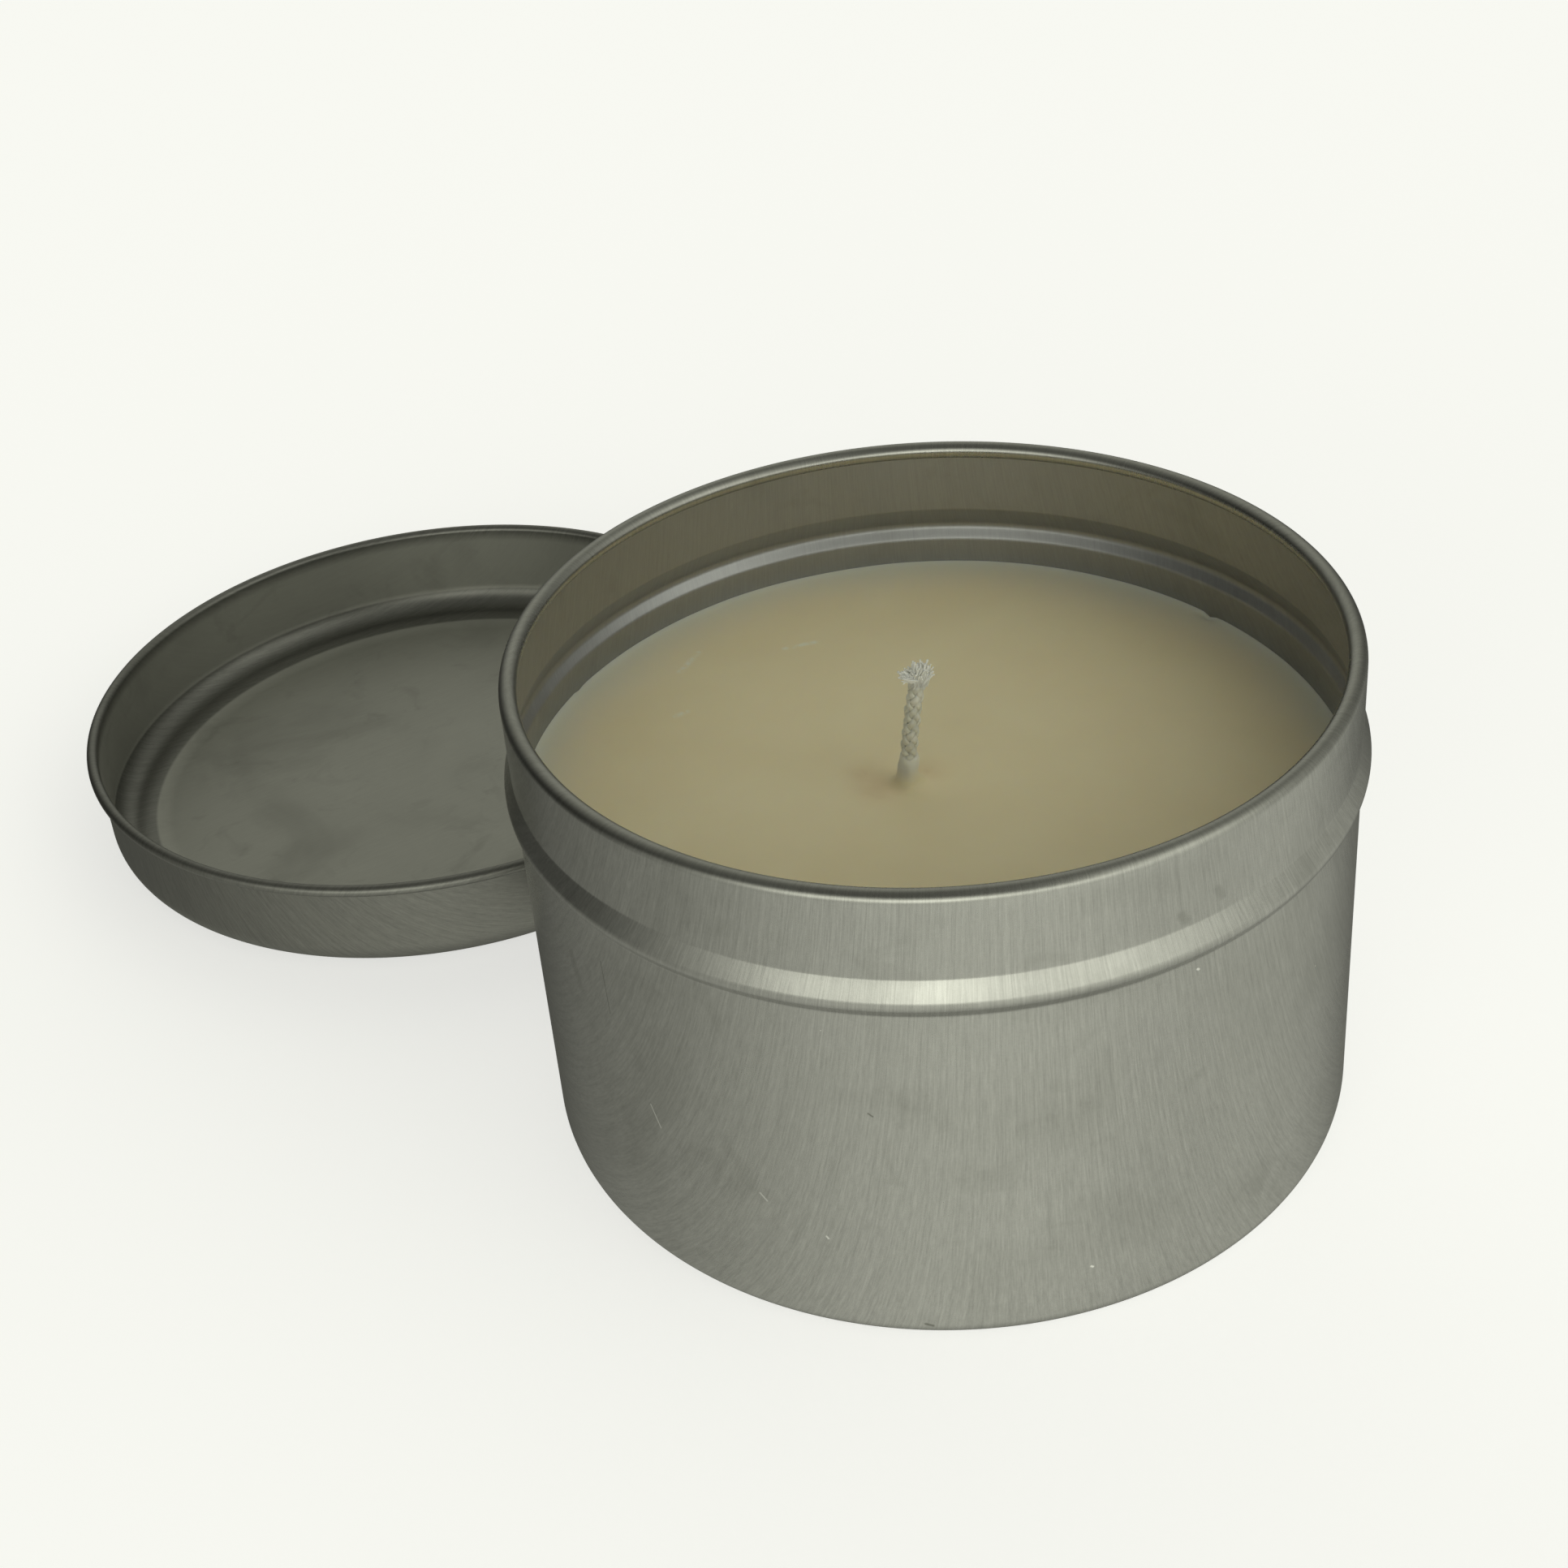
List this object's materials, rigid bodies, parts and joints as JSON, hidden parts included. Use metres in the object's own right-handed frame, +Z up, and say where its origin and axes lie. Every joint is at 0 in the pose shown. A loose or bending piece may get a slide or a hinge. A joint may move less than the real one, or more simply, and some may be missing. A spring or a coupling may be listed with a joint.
{
  "type": "candle tin",
  "caption": "Round drawn-steel candle tin with poured wax, a cotton wick on a metal sustainer, and a slip lid lying upside down beside it.",
  "frame": {"origin": "centre of the flat underside of the tin, on the tin's axis and on the table plane", "axes": "+Z up along the tin's axis, -Y towards the viewer of the reference view, +X to that viewer's right"},
  "size_m": [0.14, 0.1339, 0.0484],
  "materials": {
    "tin_steel": "fine vertical brushed grain, satin",
    "lid_steel": "satin, smudged inside",
    "wax": "smooth cream wax, soft sheen",
    "wick_cotton": "braided cotton, waxed, frayed tip",
    "sustainer_metal": "plain pressed sheet",
    "sticker_foam": "white adhesive foam"
  },
  "bodies": {
    "tin": {"tin_body": "tin_steel", "wax_fill": "wax", "wick": "wick_cotton", "wick_sustainer": "sustainer_metal", "wick_sticker": "sticker_foam"},
    "lid": {"lid": "lid_steel"}
  },
  "joints": [
    {"name": "lid_lift", "type": "slide", "parent": "tin", "child": "lid", "axis": [0, 0, 1], "range_m": [0, 0.06]}
  ]
}
